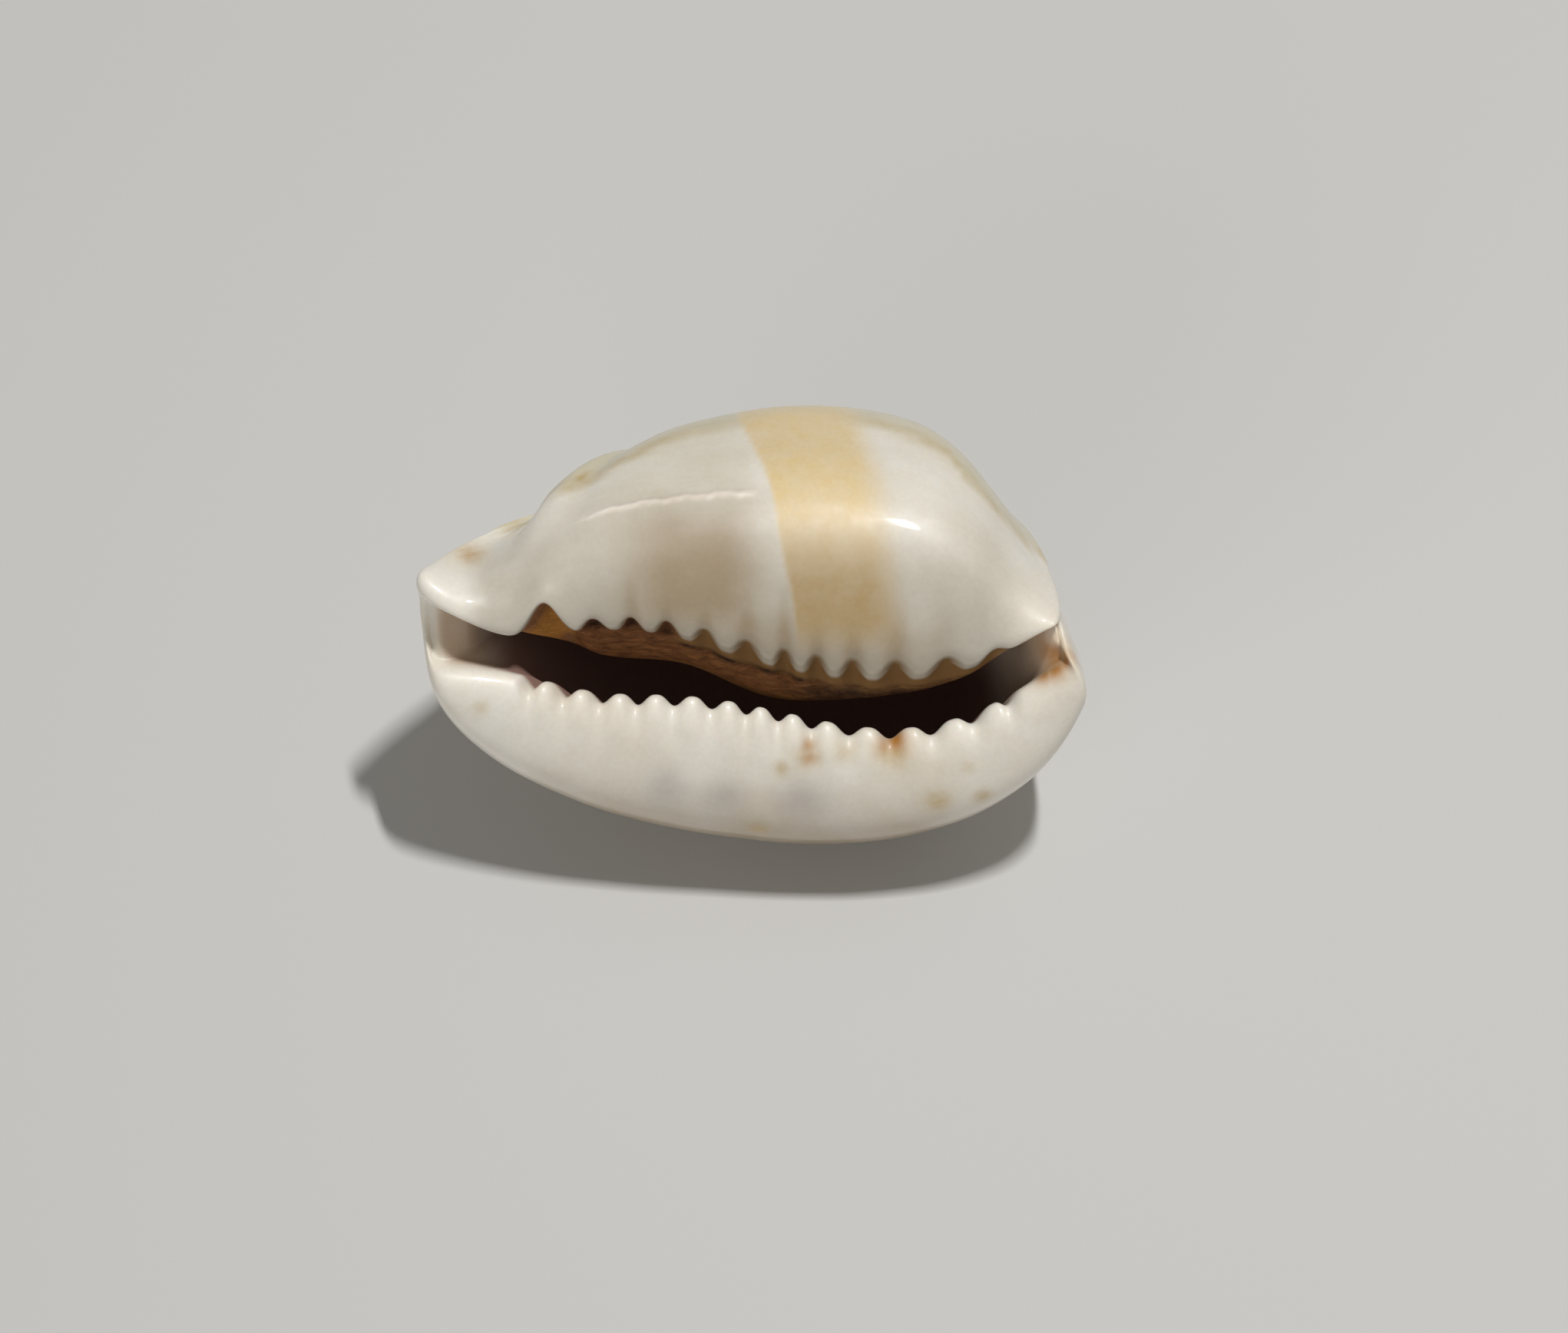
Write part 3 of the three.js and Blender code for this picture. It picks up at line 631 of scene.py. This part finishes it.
def porcelain(colours, light_depth):
    """The shell's finish: clouded white porcelain under a clear gloss, tinted by each mark in turn, with
    noise breaking the marks up; dull between the teeth and inside, with a fibrous ridge."""
    material = bpy.data.materials.new("shell_porcelain")
    material.use_nodes = True
    tree = material.node_tree
    shader = tree.nodes["Principled BSDF"]
    position = add_node(tree, "ShaderNodeTexCoord").outputs["Object"]
    fine = noise(tree, position, 5200, 2)
    medium = noise(tree, position, 1500, 4)
    slow = noise(tree, position, 260, 4, 0.6)
    along = add_node(tree, "ShaderNodeMapping", Vector=position, Scale=(0.35, 1.0, 1.0)).outputs["Vector"]
    fibres = noise(tree, along, 3600, 5, 0.7, 0.6)

    def tint(name):
        return (*getattr(colours, name), 1.0)

    colour = mixed(tree, stretched(tree, slow, 0.35, 0.7), tint("porcelain"), tint("cream"))
    ragged = {  # mark: (noise, least share, most share), in the order that they are laid on
        "beige": (slow, 0.7, 1.0), "olive": (slow, 0.7, 1.0), "crest": (medium, 0.8, 1.1),
        "tan": (slow, 0.9, 1.1), "gold": (medium, 0.78, 1.0), "peach": (medium, 0.8, 1.0),
        "violet": (slow, 0.6, 1.2), "ochre": (medium, 0.7, 1.3), "groove": (medium, 1.0, 1.1),
        "canal": (slow, 0.85, 1.0), "dark": (slow, 1.0, 1.0), "ridge": (fine, 0.95, 1.1),
        "fibres": (fibres, 0.0, 1.0), "pits": (fine, 0.8, 1.2), "orange": (slow, 0.9, 1.2),
    }
    for name, (pattern, least, most) in ragged.items():
        share = times(tree, mark(tree, name), stretched(tree, pattern, 0.35, 0.65, least, most))
        colour = mixed(tree, stretched(tree, share, 0.0, 1.0), colour, tint(name))
    grain = stretched(tree, fine, 0.3, 0.7, 0.97, 1.02)
    bright = add_node(tree, "ShaderNodeHueSaturation", Value=grain, Color=colour).outputs["Color"]
    dark, groove = mark(tree, "dark"), mark(tree, "groove")
    worn = stretched(tree, medium, 0.3, 0.7, 0.42, 0.5)
    roughness = mixed(tree, groove, mixed(tree, dark, worn, 0.6, "FLOAT"), 0.5, "FLOAT")
    dull = mixed(tree, dark, groove, 1.0, "FLOAT")
    bumps = add_node(tree, "ShaderNodeBump", Strength=1.0, Distance=0.2 * MM,
                     Height=times(tree, fibres, mark(tree, "ridge")))
    for name, value in {
        "Base Color": bright, "Roughness": roughness, "Normal": bumps.outputs["Normal"], "IOR": 1.53,
        "Specular IOR Level": mixed(tree, dull, 0.5, 0.08, "FLOAT"),
        "Coat Weight": mixed(tree, dull, 0.6, 0.0, "FLOAT"), "Coat Roughness": 0.05,
        "Subsurface Weight": 0.25, "Subsurface Radius": (1.0, 0.7, 0.45), "Subsurface Scale": light_depth,
    }.items():
        feed(tree, shader.inputs[name], value)
    return material


def plain_finish(name, colour, roughness):
    """A finish of one colour."""
    material = bpy.data.materials.new(name)
    material.use_nodes = True
    shader = material.node_tree.nodes["Principled BSDF"]
    shader.inputs["Base Color"].default_value = (*colour, 1.0)
    shader.inputs["Roughness"].default_value = roughness
    return material


# ---- the operators ----


class SHELL_OT_cowrie(bpy.types.Operator):
    """Add the cowrie shell in the CAD shell's place"""

    bl_idname = "shell.cowrie"
    bl_label = "Add the shell"

    def execute(self, context):
        sizes, colours = context.scene.shell_sizes, context.scene.shell_colours
        across, turn = grid()
        loops = control_loops(turn, sizes.half_length / MM, sizes.tooth_depth)
        points = np.einsum("rk,kcd->rcd", spline_weights(LOOP_COUNT, across), loops)
        at = places(points, across, turn)
        moved = relief(at, sizes.crease_height / MM, sizes.lip_ridges / MM)
        points = points + moved[..., None] * outward(points)
        low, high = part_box("shell")
        piece = closed_mesh("cowrie_shell", place_in_box(points, sizes.roll, low, high), marks(at))
        piece.data.materials.append(porcelain(colours, sizes.subsurface))
        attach(piece, "root")
        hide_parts("shell")
        return {"FINISHED"}


class SHELL_OT_stage(bpy.types.Operator):
    """Add the floor, the lights and the camera"""

    bl_idname = "shell.stage"
    bl_label = "Add the stage"

    def execute(self, context):
        settings = context.scene.shell_stage
        low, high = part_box("shell")
        middle = (low + high) / 2
        half = settings.floor_width / 2
        mesh = bpy.data.meshes.new("floor")
        mesh.from_pydata([(-half, -half, 0), (half, -half, 0), (half, half, 0), (-half, half, 0)], [],
                         [(0, 1, 2, 3)])
        floor = bpy.data.objects.new("floor", mesh)
        floor.location.z = low.z
        mesh.materials.append(plain_finish("floor_paper", settings.floor_colour, 0.75))
        context.scene.collection.objects.link(floor)

        self.light(context, "key_light", middle, settings.key_power, KEY_LIGHT)
        self.light(context, "fill_light", middle, settings.fill_power, FILL_LIGHT)

        world = bpy.data.worlds.new("surroundings")
        world.use_nodes = True
        background = world.node_tree.nodes["Background"]
        background.inputs["Color"].default_value = (1.0, 0.98, 0.95, 1.0)
        background.inputs["Strength"].default_value = settings.sky
        context.scene.world = world
        context.scene.view_settings.view_transform = "Standard"

        lens = bpy.data.cameras.new("camera")
        lens.sensor_width = 36
        lens.lens = lens.sensor_width * settings.distance / settings.view_width
        lens.clip_start, lens.clip_end = 0.01, 5
        camera = bpy.data.objects.new("camera", lens)
        towards = Vector((0, -math.cos(settings.elevation), math.sin(settings.elevation)))
        upwards = Vector((0, math.sin(settings.elevation), math.cos(settings.elevation)))
        aim = middle + Vector((settings.aim_right, 0, 0)) + upwards * settings.aim_up
        camera.location = aim + towards * settings.distance
        camera.rotation_euler = (-towards).to_track_quat("-Z", "Y").to_euler()
        context.scene.collection.objects.link(camera)
        context.scene.camera = camera
        return {"FINISHED"}

    def light(self, context, name, middle, power, kind):
        """Adds a lamp that faces the middle of the shell."""
        lamp = bpy.data.lights.new(name, "AREA")
        lamp.shape = "RECTANGLE"
        lamp.size, lamp.size_y = kind["sides"]
        lamp.energy = power
        light = bpy.data.objects.new(name, lamp)
        towards = Vector(kind["way"]).normalized()
        light.location = middle + towards * kind["distance"]
        light.rotation_euler = towards.to_track_quat("Z", "Y").to_euler()
        light.visible_glossy = kind["mirrored"]
        context.scene.collection.objects.link(light)


class SHELL_PT_panel(bpy.types.Panel):
    """Sizes, colours and buttons"""

    bl_label = "Cowrie shell"
    bl_idname = "SHELL_PT_panel"
    bl_space_type = "VIEW_3D"
    bl_region_type = "UI"
    bl_category = "Shell"

    def draw(self, context):
        layout = self.layout
        titles = {"Sizes": "shell_sizes", "Colours": "shell_colours", "Stage": "shell_stage"}
        for title, group in titles.items():
            box = layout.box()
            box.label(text=title)
            settings = getattr(context.scene, group)
            for name in settings.__annotations__:
                box.prop(settings, name)
        layout.operator(SHELL_OT_cowrie.bl_idname)
        layout.operator(SHELL_OT_stage.bl_idname)


CLASSES = (ShellSizes, ShellColours, StageSettings, SHELL_OT_cowrie, SHELL_OT_stage, SHELL_PT_panel)
GROUPS = {"shell_sizes": ShellSizes, "shell_colours": ShellColours, "shell_stage": StageSettings}


def register():
    for cls in CLASSES:
        bpy.utils.register_class(cls)
    for name, group in GROUPS.items():
        setattr(bpy.types.Scene, name, bpy.props.PointerProperty(type=group))


def unregister():
    for name in GROUPS:
        delattr(bpy.types.Scene, name)
    for cls in reversed(CLASSES):
        bpy.utils.unregister_class(cls)


def main():
    register()
    bpy.ops.shell.cowrie()
    bpy.ops.shell.stage()


if __name__ == "__main__":
    main()
